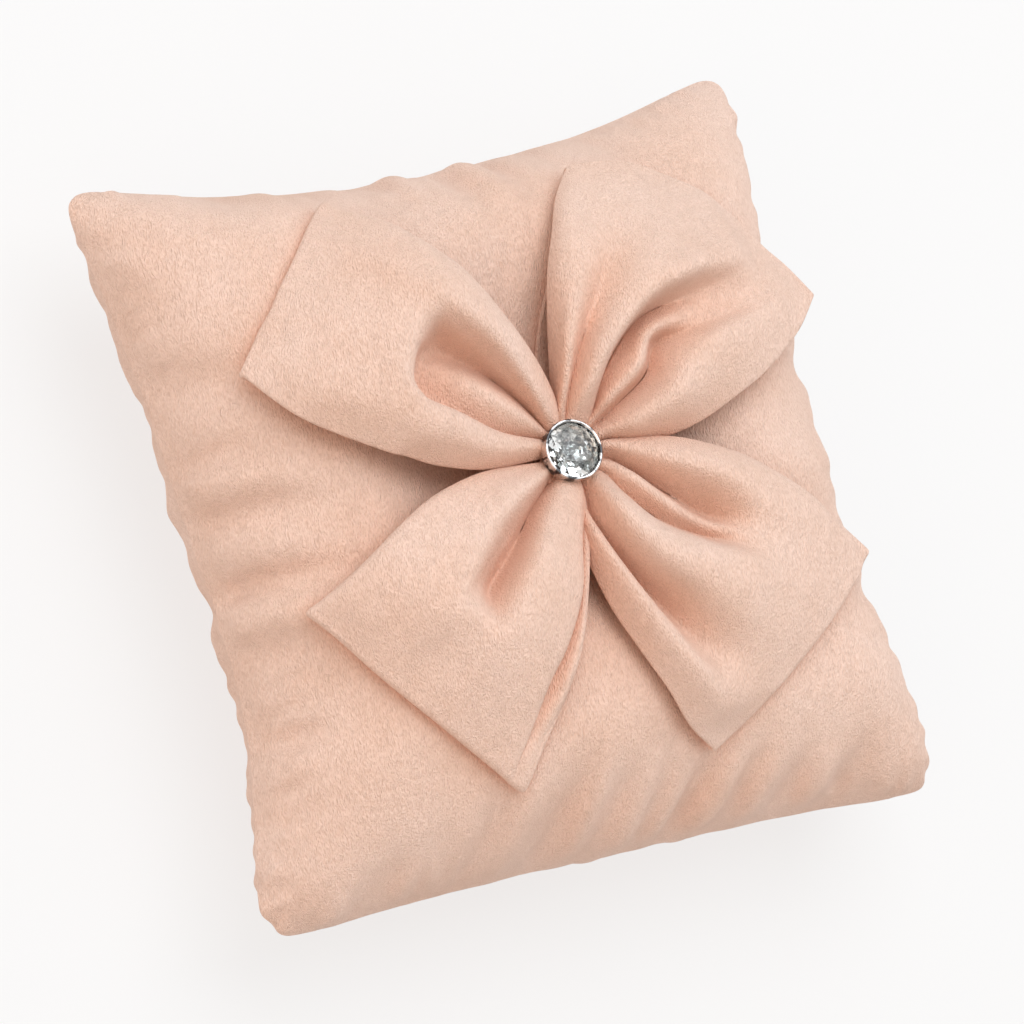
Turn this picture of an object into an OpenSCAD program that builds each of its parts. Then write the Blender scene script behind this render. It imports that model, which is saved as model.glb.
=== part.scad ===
// Ring bearer pillow: a square tufted cushion in short-pile velour, with a large four-loop bow of
// the same cloth and a faceted crystal button. It lies on its back: +Z is out of the front,
// +Y is towards the top edge and +X towards the right edge. All sizes are in millimetres.

/* [Cushion] */
// Side of the cushion between the seam's corner points
cushion_side = 200; // [160:5:260]
// How far the filling draws in the middle of the top edge
top_pull = 10; // [6:0.5:12]
// How far it draws in the middle of the left edge
left_pull = 7; // [4:0.5:10]
// How far it draws in the middle of the right edge
right_pull = 4.5; // [3.5:0.5:10]
// How far it draws in the middle of the bottom edge, which is sewn up last
bottom_pull = 4; // [3.5:0.5:10]
// Sharpness of the corners, where a higher number is sharper
corner_sharpness = 29; // [16:1:40]
// Height of the edge seam above the surface that the cushion rests on
seam_height = 36; // [34:1:38]
// Rise of the front above the seam, before the tufting draws it in
front_rise = 40; // [38:1:42]
// Fall of the back below the seam, before it flattens where it rests
back_fall = 44; // [42:1:46]
// Fullness of the cushion near its edge, where a lower number is fuller
edge_fullness = 0.7; // [0.6:0.05:0.8]
// Thickness of the velour
cloth = 1.4; // [1:0.1:1.8]

/* [Tufting] */
// Depth of the dimple in the front
front_dimple = 13; // [12.5:0.1:13.5]
// Reach of the front dimple from the centre
front_dimple_reach = 34; // [28:1:38]
// Depth of the dimple in the back, which hides the back button
back_dimple = 18; // [17:0.5:20]
// Distance from the centre to each strand of the tuft thread
strand_offset = 1.5; // [1.4:0.05:1.55]
// Thickness of the tuft thread
tuft_thread_d = 0.6; // [0.4:0.1:0.6]
// Diameter of the back button
back_button_d = 14; // [11:1:15]

/* [Bow] */
// Distance from the centre to the folded end of each loop
loop_reach = 84; // [70:1:90]
// Width of the first strip, across the folded ends of its loops
first_strip_w = 66; // [50:1:72]
// Width of the second strip, across the folded ends of its loops
second_strip_w = 72; // [50:1:72]
// Height of a loop's roll above its lower layer
loop_rise = 15; // [8:1:18]
// Width of a strip where its gather thread draws it together
waist_w = 9.2; // [9:0.1:10]

/* [Crystal button] */
// Outer diameter of the silver setting
setting_d = 16.5; // [16:0.1:17]
// Diameter of the crystal
stone_d = 14.8; // [14.4:0.1:15]
// Height of the crystal's face above the edge seam
face_height = 43.7; // [43.6:0.1:44]

/* [Hidden] */

velour = [0.93, 0.78, 0.70];
velour_shade = [0.88, 0.71, 0.62];
thread_colour = [0.90, 0.76, 0.69];
silver = [0.80, 0.81, 0.83];

half_side = cushion_side / 2;

// Grid of the cushion's surfaces: steps round an eighth of the outline, and out from the centre
octant_steps = 7;
round_steps = 8 * octant_steps;
out_steps = 12;

// Seam allowance: two flanges that lie face to face inside the edge
flange_t = 1;
flange_in = 0.93;
flange_out = 0.96;
filling_edge = 0.92;
filling_hole = 0.005;
filling_gap = 0.6;
needle_hole_r = 2;
seam_thread_r = 0.3;
seam_thread_in = 2;

// Closing seam, sewn by hand along the bottom edge
closing_count = 13;
closing_pitch = 5.5;
closing_in = 0.25;

// Directions of the four loops and of the two strips, counted from +X
upper_left_dir = 138;
upper_right_dir = 42.5;
lower_left_dir = 223.5;
lower_right_dir = 311;
first_strip_dir = 134.5;
second_strip_dir = 43;
loop_start = 17.5;
loop_start_w = 13;
loop_clear = 1.2;
layer_pair = 2.4;
loop_steps = 11;
loop_across = 9;

// The two strips are stacked in the dimple, each with its gather thread wound on both sides of
// the needle's hole
waist_reach = 15.5;
waist_h = 3.8;
waist_end_w = 13;
waist_end_h = 5;
waist_hole_r = 3;
gather_r = 0.3;
gather_off = 3.8;
gather_gap = 0.38;
first_waist_z = 66;
first_end_rise = 2.1;
second_waist_z = 71.3;
second_end_rise = -2.7;

// Crystal button, from its back plate up to its face
setting_z = 74;
plate_t = 0.6;
setting_r = setting_d / 2;
stone_r = stone_d / 2;
stone_face_z = seam_height + face_height;
girdle_z = stone_face_z - 1.6;
girdle_t = 0.3;
culet_z = 75.4;
stone_sides = 16;
wire_r = 0.45;
shank_r = 1.8;
shank_z = 72.9;

// Back button and knot, inside the back dimple
back_dimple_floor_r = back_button_d / 2 + 1.5;
back_dimple_reach = 24;
back_button_z = 7.2;
back_button_t = 2.2;
knot_r = 2.3;
knot_h = 2;

front_dimple_floor_r = 10;
steps_round = 48;

function smooth(t) = let (u = min(1, max(0, t))) u * u * (3 - 2 * u);
function along(dir, r, z) = [r * cos(dir), r * sin(dir), z];

// Angle of a grid line: the lines crowd together towards the four corners
function grid_angle(i) =
    let (octant = floor(i / octant_steps), u = i / octant_steps - octant)
    45 * (octant % 2 == 0 ? octant + 1 - pow(1 - u, 1.7) : octant + pow(u, 1.7));

// Distance from the centre line to a side, where t is the place along it, 0 in the middle
function side_distance(t, pull) = half_side - pull * (1 - pow(min(t, 1.5), 2));

// Outline of the edge seam: four curved sides that blend at rounded corners
function outline(a) =
    let (c = max(abs(cos(a)), 0.001), s = max(abs(sin(a)), 0.001),
         across = c / side_distance(s / c, cos(a) > 0 ? right_pull : left_pull),
         up = s / side_distance(c / s, sin(a) > 0 ? top_pull : bottom_pull))
    pow(pow(across, corner_sharpness) + pow(up, corner_sharpness), -1 / corner_sharpness);

function crown(s) = pow(max(0, 1 - s * s), edge_fullness);
function dimple(r, depth, floor_r, reach) = depth * (1 - smooth((r - floor_r) / (reach - floor_r)));

// Heights of the cushion's outer surfaces at radius r, where s runs from 0 at the centre to 1
function front_z(s, r) =
    seam_height + front_rise * crown(s)
    - dimple(r, front_dimple, front_dimple_floor_r, front_dimple_reach);
function back_z(s, r) =
    seam_height - back_fall * crown(s)
    + dimple(r, back_dimple, back_dimple_floor_r, back_dimple_reach);
function front_z_at(x, y) = let (r = norm([x, y])) front_z(r / outline(atan2(y, x)), r);

// Fractions of the way out: close together at the centre and at the edge
outward = [for (i = [0:out_steps]) (1 - cos(180 * i / out_steps)) / 2];
inward = [for (i = [out_steps - 2:-1:0]) outward[i]];

// Triangles between neighbouring rows of a closed grid of rows x columns
function grid_faces(rows, columns, closed) = [
    for (i = [0:rows - (closed ? 1 : 2)], j = [0:columns - 1])
    let (i2 = (i + 1) % rows, j2 = (j + 1) % columns,
         a = i * columns + j, b = i2 * columns + j, c = i2 * columns + j2, d = i * columns + j2)
    each [[a, c, b], [a, d, c]]];

// A solid ring swept round the centre: profile(i) of each grid line is a closed loop of points
module swept_round(rows, flip = false) {
    faces = grid_faces(len(rows), len(rows[0]), true);
    polyhedron(points = [for (row = rows) each row],
               faces = flip ? [for (f = faces) [f[0], f[2], f[1]]] : faces);
}

// A solid through a row of rings, closed by a fan at each end
module lofted(rings) {
    n = len(rings);
    m = len(rings[0]);
    middle = [for (k = [0, n - 1]) [for (axis = [0:2]) let (ring = rings[k])
              [for (p = ring) p[axis]] * [for (p = ring) 1] / m]];
    polyhedron(points = concat([for (ring = rings) each ring], middle),
               faces = concat(grid_faces(n, m, false),
                              [for (j = [0:m - 1]) [n * m, (j + 1) % m, j]],
                              [for (j = [0:m - 1]) [n * m + 1, (n - 1) * m + j,
                                                    (n - 1) * m + (j + 1) % m]]));
}

// A thread along a closed flat path in the XY plane
module closed_thread(path, r, sides = 6) {
    n = len(path);
    rings = [for (i = [0:n - 1])
             let (t = path[(i + 1) % n] - path[(i + n - 1) % n], out = [t[1], -t[0]] / norm(t))
             [for (k = [0:sides - 1]) let (w = path[i] + r * cos(360 * k / sides) * out)
              [w[0], w[1], r * sin(360 * k / sides)]]];
    swept_round(rings, true);
}

// One place on a grid line of the cushion, at fraction s of the way out from the hole
function cushion_point(i, s, hole_r, height) =
    let (a = grid_angle(i), edge = outline(a), r = hole_r + (edge - hole_r) * s)
    along(a, r, height);
function reach_at(i, s, hole_r) = hole_r + (outline(grid_angle(i)) - hole_r) * s;

module front_cover() {
    color(velour)
    swept_round([for (i = [0:round_steps - 1]) concat(
        [for (s = outward) cushion_point(i, s, needle_hole_r,
            front_z(s, reach_at(i, s, needle_hole_r)))],
        [cushion_point(i, flange_in, needle_hole_r, seam_height),
         cushion_point(i, flange_in, needle_hole_r, seam_height + flange_t),
         cushion_point(i, flange_out, needle_hole_r, seam_height + flange_t)],
        [for (s = inward) cushion_point(i, s, needle_hole_r,
            front_z(s, reach_at(i, s, needle_hole_r)) - cloth)])]);
}

// The back is flat where it rests, so its swell is cut level
module back_cover() {
    color(velour)
    difference() {
        swept_round([for (i = [0:round_steps - 1]) concat(
            [for (s = outward) cushion_point(i, s, needle_hole_r,
                back_z(s, reach_at(i, s, needle_hole_r)))],
            [cushion_point(i, flange_in, needle_hole_r, seam_height),
             cushion_point(i, flange_in, needle_hole_r, seam_height - flange_t),
             cushion_point(i, flange_out, needle_hole_r, seam_height - flange_t)],
            [for (s = inward) cushion_point(i, s, needle_hole_r,
                max(0, back_z(s, reach_at(i, s, needle_hole_r))) + cloth)])], true);
        translate([0, 0, -cushion_side / 2])
            cube([2 * cushion_side, 2 * cushion_side, cushion_side], center = true);
    }
}

module fibre_filling() {
    steps = concat([filling_hole], [for (s = outward) if (s > filling_hole && s < filling_edge) s],
                   [filling_edge]);
    color("ivory")
    swept_round([for (i = [0:round_steps - 1]) concat(
        [for (s = steps) cushion_point(i, s, needle_hole_r,
            front_z(s, reach_at(i, s, needle_hole_r)) - cloth - filling_gap)],
        [for (k = [len(steps) - 1:-1:0]) let (s = steps[k]) cushion_point(i, s, needle_hole_r,
            max(0, back_z(s, reach_at(i, s, needle_hole_r))) + cloth + filling_gap)])]);
}

module edge_seam_thread() {
    color(thread_colour)
    translate([0, 0, seam_height])
        closed_thread([for (i = [0:round_steps - 1])
            let (a = grid_angle(i), r = outline(a) - seam_thread_in) [r * cos(a), r * sin(a)]],
            seam_thread_r);
}

// Small stitches that cross the seam line along the middle of the bottom edge
module closing_stitches() {
    stitch_h = 2.6;
    color(thread_colour)
    for (i = [0:closing_count - 1]) {
        a = 270 + atan((i - (closing_count - 1) / 2) * closing_pitch / side_distance(0, bottom_pull));
        translate(along(a, outline(a) - closing_in, seam_height - stitch_h / 2))
            cylinder(r = 0.22, h = stitch_h, $fn = 24);
    }
}

// The drawn-in middle of a strip, which widens towards its two loops
module strip_waist(dir, z, end_rise) {
    steps = 8;
    color(velour_shade)
    difference() {
        rotate([0, 0, dir])
            lofted([for (i = [0:steps])
                let (u = 2 * i / steps - 1, x = u * waist_reach, e = u * u,
                     w = (waist_w + (waist_end_w - waist_w) * e) / 2,
                     h = (waist_h + (waist_end_h - waist_h) * e) / 2)
                [for (k = [0:15]) [x, w * cos(22.5 * k), z + end_rise * e + h * sin(22.5 * k)]]]);
        translate([0, 0, z - waist_h])
            cylinder(r = waist_hole_r, h = 2 * waist_h, $fn = steps_round);
    }
}

module first_strip_waist() {
    strip_waist(first_strip_dir, first_waist_z, first_end_rise);
}

module second_strip_waist() {
    strip_waist(second_strip_dir, second_waist_z, second_end_rise);
}

// Two turns of thread round a waist, one on each side of the needle's hole
module gather_thread(dir, z) {
    turns = 24;
    w = waist_w / 2 + gather_gap + 0.1;
    h = waist_h / 2 + gather_gap;
    color(thread_colour)
    rotate([0, 0, dir])
    for (side = [-1, 1])
        translate([side * gather_off, 0, z])
        rotate([90, 0, 90])
            closed_thread([for (i = [0:turns - 1]) let (a = 360 * i / turns)
                           [w * cos(a), h * sin(a)]], gather_r);
}

module first_gather_thread() {
    gather_thread(first_strip_dir, first_waist_z + 0.1);
}

module second_gather_thread() {
    gather_thread(second_strip_dir, second_waist_z - 0.1);
}

// A bow loop: it starts narrow beside the waist, swells into a soft roll and ends in the straight
// fold of the strip. skew turns the fold, and the underside follows the cushion's front.
module bow_loop(dir, strip_w, skew) {
    rings = [for (i = [0:loop_steps])
        let (u = i / loop_steps, half_w = (loop_start_w + (strip_w - loop_start_w) * u) / 2,
             rise = loop_rise * pow(sin(180 * pow(u, 0.75)), 1.2))
        concat(
            [for (k = [0:loop_across]) let (v = 1 - 2 * k / loop_across) loop_point(
                dir, u, v * half_w, skew, 0)],
            [for (k = [0:loop_across]) let (v = 2 * k / loop_across - 1) loop_point(
                dir, u, v * half_w, skew, layer_pair + rise * pow(1 - v * v, 0.8))])];
    color(velour)
    lofted(rings);
}
function loop_point(dir, u, across, skew, rise) =
    let (out = loop_start + u * (loop_reach - loop_start + skew * across),
         x = out * cos(dir) - across * sin(dir), y = out * sin(dir) + across * cos(dir))
    [x, y, front_z_at(x, y) + loop_clear + rise];

module upper_left_loop() {
    bow_loop(upper_left_dir, first_strip_w, 0);
}

module upper_right_loop() {
    bow_loop(upper_right_dir, second_strip_w, 0.1);
}

module lower_left_loop() {
    bow_loop(lower_left_dir, second_strip_w, -0.05);
}

module lower_right_loop() {
    bow_loop(lower_right_dir, first_strip_w, 0.05);
}

// A round brilliant: an eight-sided table, star and kite facets down to the girdle, and a
// faceted underside that closes at the culet
module crystal_stone() {
    n = stone_sides;
    h = n / 2;
    table_r = 0.5 * stone_r;
    star_r = 0.76 * stone_r;
    lower_r = 0.5 * stone_r;
    star_z = girdle_z + 0.62 * (stone_face_z - girdle_z);
    lower_z = culet_z + 0.6 * (girdle_z - girdle_t - culet_z);
    points = concat(
        [for (k = [0:h - 1]) along(720 * k / n, table_r, stone_face_z)],
        [for (k = [0:h - 1]) along(720 * (k + 0.5) / n, star_r, star_z)],
        [for (k = [0:n - 1]) along(360 * k / n, stone_r, girdle_z)],
        [for (k = [0:n - 1]) along(360 * k / n, stone_r, girdle_z - girdle_t)],
        [for (k = [0:h - 1]) along(720 * (k + 0.5) / n, lower_r, lower_z)],
        [[0, 0, culet_z], [0, 0, stone_face_z]]);
    star = h;
    upper = 2 * h;
    under = upper + n;
    lower = under + n;
    culet = lower + h;
    color([0.85, 0.88, 0.90, 0.7])
    polyhedron(points = points, faces = concat(
        [for (k = [0:h - 1]) each [
            [culet + 1, (k + 1) % h, k],
            [k, (k + 1) % h, star + k],
            [k, star + k, upper + 2 * k],
            [star + k, (k + 1) % h, upper + (2 * k + 2) % n],
            [star + k, upper + 2 * k + 1, upper + 2 * k],
            [star + k, upper + (2 * k + 2) % n, upper + 2 * k + 1],
            [lower + k, under + 2 * k, under + 2 * k + 1],
            [lower + k, under + 2 * k + 1, under + (2 * k + 2) % n],
            [lower + k, lower + (k + h - 1) % h, under + 2 * k],
            [culet, lower + (k + h - 1) % h, lower + k]]],
        [for (k = [0:n - 1]) let (k2 = (k + 1) % n) each [
            [upper + k, upper + k2, under + k2],
            [upper + k, under + k2, under + k]]]));
}

// Thin mirror cone behind the stone
module foil_backing() {
    gap = 0.06;
    t = 0.12;
    rim_z = girdle_z - girdle_t;
    color([0.9, 0.9, 0.92])
    rotate_extrude($fn = steps_round)
        polygon([[0, culet_z - gap - t], [stone_r, rim_z - gap - t],
                 [stone_r, rim_z - gap], [0, culet_z - gap]]);
}

// Silver cup with a rolled rim that holds the stone's girdle down
module setting_cup() {
    base_z = setting_z + plate_t;
    lip_z = girdle_z + 0.1;
    bore_r = stone_r + 0.1;
    seat_z = girdle_z - girdle_t - 0.25;
    rim_r = 0.42;
    color(silver)
    rotate_extrude($fn = steps_round)
    union() {
        polygon([[0, base_z], [setting_r - 0.9, base_z], [setting_r - 0.2, base_z + 0.6],
                 [setting_r, base_z + 1.4], [setting_r, lip_z + 0.35],
                 [bore_r, lip_z + 0.35], [bore_r, seat_z], [0, culet_z - 0.25]]);
        translate([setting_r - rim_r, lip_z + 0.35]) circle(r = rim_r, $fn = steps_round);
    }
}

// Disc that closes the cup and carries the shank
module setting_back() {
    color(silver)
    rotate_extrude($fn = steps_round)
        polygon([[0, setting_z], [setting_r - 1.6, setting_z], [setting_r - 1.2, setting_z + 0.2],
                 [setting_r - 1.2, setting_z + plate_t], [0, setting_z + plate_t]]);
}

// Wire eye under the button, which the tuft thread passes through
module shank() {
    color(silver)
    rotate([0, 0, second_strip_dir])
    union() {
        translate([0, 0, shank_z])
        rotate([90, 0, 0])
        rotate([0, 0, 180])
            rotate_extrude(angle = 180, $fn = steps_round)
            translate([shank_r, 0]) circle(r = wire_r, $fn = 32);
        for (side = [-1, 1])
            translate([side * shank_r, 0, shank_z])
                cylinder(r = wire_r, h = setting_z - shank_z, $fn = 32);
    }
}

// One doubled thread: up through the back button and the cushion, over the shank's wire, and back
module tuft_thread() {
    bend_z = shank_z - shank_r;
    end_z = back_button_z - 0.9;
    color(thread_colour)
    rotate([0, 0, second_strip_dir])
    union() {
        translate([0, 0, bend_z])
        rotate([90, 0, 90])
            rotate_extrude(angle = 180, $fn = steps_round)
            translate([strand_offset, 0]) circle(d = tuft_thread_d, $fn = 32);
        for (side = [-1, 1])
            translate([0, side * strand_offset, end_z])
                cylinder(d = tuft_thread_d, h = bend_z - end_z, $fn = 32);
    }
}

// Flat button with a raised rim and two thread holes, drawn up into the back dimple
module back_button() {
    r = back_button_d / 2;
    rim = 1.2;
    sink = 0.7;
    color([0.93, 0.86, 0.80])
    difference() {
        translate([0, 0, back_button_z])
        rotate_extrude($fn = steps_round)
            polygon([[0, sink], [r - rim - 0.5, sink], [r - rim, 0.1], [r - 0.4, 0],
                     [r, 0.5], [r, back_button_t - 0.5], [r - 0.5, back_button_t],
                     [0, back_button_t]]);
        rotate([0, 0, second_strip_dir])
        for (side = [-1, 1])
            translate([0, side * strand_offset, back_button_z - 1])
                cylinder(r = 0.75, h = back_button_t + 2, $fn = steps_round);
    }
}

// Knot that ties the two strands under the back button
module tie_off_knot() {
    h = knot_h / 2;
    color(thread_colour)
    translate([0, 0, back_button_z - h + 0.5])
    rotate_extrude($fn = steps_round)
        polygon([for (k = [0:12]) let (a = 15 * k - 90) [knot_r * cos(a), h * sin(a)]]);
}

front_cover();
back_cover();
fibre_filling();
edge_seam_thread();
closing_stitches();
first_strip_waist();
second_strip_waist();
first_gather_thread();
second_gather_thread();
upper_left_loop();
upper_right_loop();
lower_left_loop();
lower_right_loop();
crystal_stone();
foil_backing();
setting_cup();
setting_back();
shank();
tuft_thread();
back_button();
tie_off_knot();
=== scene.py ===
from math import atan2, cos, degrees, hypot, pi, radians, sin

import bmesh
import bpy
import numpy as np
from mathutils import Matrix, Vector
from mathutils.bvhtree import BVHTree


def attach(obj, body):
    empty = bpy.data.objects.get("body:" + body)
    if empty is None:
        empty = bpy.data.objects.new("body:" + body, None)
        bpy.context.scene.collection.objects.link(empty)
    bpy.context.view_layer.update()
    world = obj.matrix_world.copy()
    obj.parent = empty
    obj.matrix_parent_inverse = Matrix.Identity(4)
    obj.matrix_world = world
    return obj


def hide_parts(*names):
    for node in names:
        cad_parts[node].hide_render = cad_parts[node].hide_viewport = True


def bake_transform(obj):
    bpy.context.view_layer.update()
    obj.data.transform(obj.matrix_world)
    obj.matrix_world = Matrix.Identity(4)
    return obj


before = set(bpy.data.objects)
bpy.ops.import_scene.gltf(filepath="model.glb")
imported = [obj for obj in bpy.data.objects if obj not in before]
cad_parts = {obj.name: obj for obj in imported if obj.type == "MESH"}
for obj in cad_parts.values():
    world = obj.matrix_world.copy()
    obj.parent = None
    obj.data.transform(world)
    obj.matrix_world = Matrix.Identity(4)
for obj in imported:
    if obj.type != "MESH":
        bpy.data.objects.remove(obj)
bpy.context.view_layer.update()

MM = 0.001  # shapes are worked out in mm, and Blender's unit is the metre
SEAM_Z = 36.0  # height of the cushion's edge seam
rng = np.random.default_rng(7)


# ---------------- nodes and objects

def new_material(name, **sockets):
    """Material with a principled shader, whose sockets are set by name."""
    material = bpy.data.materials.new(name)
    material.use_nodes = True
    tree = material.node_tree
    shader = tree.nodes["Principled BSDF"]
    for socket, value in sockets.items():
        shader.inputs[socket.replace("_", " ")].default_value = value
    return material, tree, shader


def add_node(tree, kind, inputs=None, **settings):
    """Node of a kind, with settings and with inputs that are values or other nodes' outputs."""
    node = tree.nodes.new("ShaderNode" + kind)
    for key, value in settings.items():
        setattr(node, key, value)
    for key, value in (inputs or {}).items():
        if isinstance(value, bpy.types.NodeSocket):
            tree.links.new(value, node.inputs[key])
        else:
            node.inputs[key].default_value = value
    return node


def object_place(tree):
    """Where a point of the surface is, in the object's own metres."""
    return add_node(tree, "TexCoord").outputs["Object"]


def noise(tree, place, scale, detail, **more):
    """Value of a noise texture at a place."""
    inputs = {"Vector": place, "Scale": scale, "Detail": detail, **more}
    return add_node(tree, "TexNoise", inputs).outputs["Fac"]


def ramp(tree, factor, *stops):
    """Colour that runs through stops (place, colour) as the factor grows."""
    node = add_node(tree, "ValToRGB", {"Fac": factor})
    elements = node.color_ramp.elements
    while len(elements) < len(stops):
        elements.new(0.5)
    for element, (place, colour) in zip(elements, stops):
        element.position = place
        element.color = (*colour, 1)
    return node.outputs["Color"]


def grey(value):
    return (value, value, value)


def blend_colours(tree, share, first, second, kind):
    """Second colour laid over the first, by a share that is a number or a node's output."""
    mix = tree.nodes.new("ShaderNodeMix")
    mix.data_type = "RGBA"
    mix.blend_type = kind
    if isinstance(share, float):
        mix.inputs[0].default_value = share
    else:
        tree.links.new(share, mix.inputs[0])
    tree.links.new(first, mix.inputs[6])
    tree.links.new(second, mix.inputs[7])
    return mix.outputs[2]


def add_bump(tree, shader, height, strength, distance):
    """Let a height in the nodes roughen the surface, by a distance in metres."""
    bump = add_node(tree, "Bump", {"Height": height, "Strength": strength, "Distance": distance})
    tree.links.new(bump.outputs[0], shader.inputs["Normal"])


def new_object(name, data):
    """Object that shows a mesh, light or camera in the scene."""
    piece = bpy.data.objects.new(name, data)
    bpy.context.scene.collection.objects.link(piece)
    return piece


def new_mesh(name, points, faces, smooth=True):
    """Mesh of points in mm."""
    mesh = bpy.data.meshes.new(name)
    mesh.from_pydata((np.array(points) * MM).tolist(), [], faces)
    if smooth:
        mesh.polygons.foreach_set("use_smooth", [True] * len(mesh.polygons))
    return mesh


def grid_faces(ids):
    """Quads between the numbered points of a grid."""
    return np.stack([ids[:-1, :-1], ids[1:, :-1], ids[1:, 1:], ids[:-1, 1:]], -1).reshape(-1, 4).tolist()


def finish_piece(piece, material, body, node):
    """Material of a piece, the body it moves with and the CAD node that it stands for."""
    piece.data.materials.append(material)
    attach(piece, body)
    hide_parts(node)


# ---------------- materials

def velour(pile_turn=0.18):
    """Short pile: fine wriggling strokes in both colour and height, painted shade that makes the
    colour darker and deeper where the cloth is sheltered, and a pale sheen."""
    material, tree, shader = new_material("velour", Roughness=0.92, Sheen_Weight=0.4,
                                          Sheen_Roughness=0.55, Specular_IOR_Level=0.12,
                                          Sheen_Tint=(1.0, 0.84, 0.74, 1))
    place = object_place(tree)
    turned = add_node(tree, "Mapping", {"Vector": place, "Rotation": (0, 0, pile_turn)}).outputs[0]
    wriggle = add_node(tree, "TexNoise", {"Vector": turned, "Scale": 260.0, "Detail": 1.0})
    bent = add_node(tree, "VectorMath", {0: wriggle.outputs["Color"], 1: grey(0.5)},
                    operation="SUBTRACT")
    bent = add_node(tree, "VectorMath", {0: bent.outputs[0], "Scale": 0.0009}, operation="SCALE")
    strokes_at = add_node(tree, "VectorMath", {0: turned, 1: bent.outputs[0]})
    stretched = add_node(tree, "Mapping", {"Vector": strokes_at.outputs[0],
                                           "Scale": (1.0, 0.28, 1.0)})
    strokes = noise(tree, stretched.outputs[0], 2900.0, 2.0, Roughness=0.45)
    patches = noise(tree, place, 38.0, 3.0, Roughness=0.6)
    open_pile = ramp(tree, patches, (0.3, (0.890, 0.627, 0.508)), (0.5, (0.920, 0.668, 0.555)),
                     (0.7, (0.945, 0.703, 0.596)))
    # painted shade: where ambient occlusion finds the cloth sheltered, in creases, folds and under the
    # bow, the pile's colour is mixed towards this darker, deeper one
    painted_shade_pile = ramp(tree, patches, (0.3, (0.92, 0.535, 0.385)), (0.7, (0.95, 0.580, 0.430)))
    shade_occlusion = add_node(tree, "AmbientOcclusion", {"Distance": 0.022}, samples=2)
    unshaded_share = ramp(tree, shade_occlusion.outputs["AO"], (0.35, grey(0)), (0.86, grey(1)))
    base = blend_colours(tree, unshaded_share, painted_shade_pile, open_pile, "MIX")
    stroke_tone = ramp(tree, strokes, (0.36, (0.88, 0.83, 0.79)), (0.5, (0.96, 0.945, 0.935)),
                       (0.64, grey(1.0)))
    tree.links.new(blend_colours(tree, 1.0, base, stroke_tone, "MULTIPLY"),
                   shader.inputs["Base Color"])
    height = add_node(tree, "Math", {0: strokes, 1: patches}, operation="ADD")
    add_bump(tree, shader, height.outputs[0], 1.0, 0.0009)
    return material


def fibre_material():
    """Loose white polyester fibres."""
    material, tree, shader = new_material("polyester_fibre", Roughness=0.85, Sheen_Weight=0.3,
                                          Subsurface_Weight=0.1)
    hairs = noise(tree, object_place(tree), 420.0, 5.0, Distortion=2.5)
    tone = ramp(tree, hairs, (0.3, (0.78, 0.77, 0.75)), (0.65, (0.93, 0.93, 0.92)))
    tree.links.new(tone, shader.inputs["Base Color"])
    add_bump(tree, shader, hairs, 0.8, 0.001)
    return material


def thread_material():
    """Twisted sewing thread in the cloth's colour."""
    material, tree, shader = new_material("thread", Roughness=0.6, Sheen_Weight=0.15)
    turned = add_node(tree, "Mapping", {"Vector": object_place(tree), "Rotation": (0.6, 0.4, 0.7)})
    twist = add_node(tree, "TexWave", {"Vector": turned.outputs[0], "Scale": 900.0,
                                       "Distortion": 1.5}).outputs["Fac"]
    tone = ramp(tree, twist, (0.1, (0.66, 0.42, 0.32)), (0.7, (0.82, 0.58, 0.47)))
    tree.links.new(tone, shader.inputs["Base Color"])
    add_bump(tree, shader, twist, 0.6, 0.0002)
    return material


def silver_material():
    """Polished silver with near-black patches of painted dark reflection."""
    material, tree, shader = new_material("silver_setting", Metallic=1.0)
    place = object_place(tree)
    wear = noise(tree, place, 700.0, 3.0)
    # painted reflection: near-black patches in the silver's colour stand for the dark surroundings it
    # would mirror
    painted_dark_reflections = noise(tree, place, 330.0, 2.0)
    tone = ramp(tree, painted_dark_reflections, (0.43, (0.10, 0.10, 0.105)), (0.49, (0.62, 0.62, 0.63)),
                (0.60, grey(0.88)))
    gloss = ramp(tree, wear, (0.35, grey(0.10)), (0.7, grey(0.20)))
    tree.links.new(tone, shader.inputs["Base Color"])
    tree.links.new(gloss, shader.inputs["Roughness"])
    add_bump(tree, shader, wear, 0.1, 0.0001)
    return material


def button_plastic():
    """Faintly clouded plastic of the back button."""
    material, tree, shader = new_material("button_plastic", Roughness=0.3, Coat_Weight=0.3)
    clouds = noise(tree, object_place(tree), 240.0, 4.0, Distortion=1.2)
    tone = ramp(tree, clouds, (0.35, (0.74, 0.60, 0.52)), (0.65, (0.86, 0.75, 0.68)))
    tree.links.new(tone, shader.inputs["Base Color"])
    add_bump(tree, shader, clouds, 0.15, 0.0002)
    return material


def crystal_material():
    """Clear cut glass with the faintest clouding inside its colour."""
    material, tree, shader = new_material("crystal", Roughness=0.0, IOR=1.56,
                                          Transmission_Weight=1.0)
    clouds = noise(tree, object_place(tree), 500.0, 2.0)
    tone = ramp(tree, clouds, (0.4, (0.93, 0.98, 0.98)), (0.6, grey(1.0)))
    tree.links.new(tone, shader.inputs["Base Color"])
    return material


def foil_material():
    """Mirror foil: each facet has its own tone of painted reflection, held in the mesh."""
    material, tree, shader = new_material("mirror_foil", Metallic=1.0)
    # painted reflection: the facets' tones kept in the mesh become the foil's colour
    tone = add_node(tree, "VertexColor", layer_name="tone").outputs["Color"]
    grain = noise(tree, object_place(tree), 1500.0, 2.0)
    gloss = ramp(tree, grain, (0.3, grey(0.12)), (0.7, grey(0.26)))
    tree.links.new(tone, shader.inputs["Base Color"])
    tree.links.new(gloss, shader.inputs["Roughness"])
    return material


# ---------------- camera, floor and light

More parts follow.
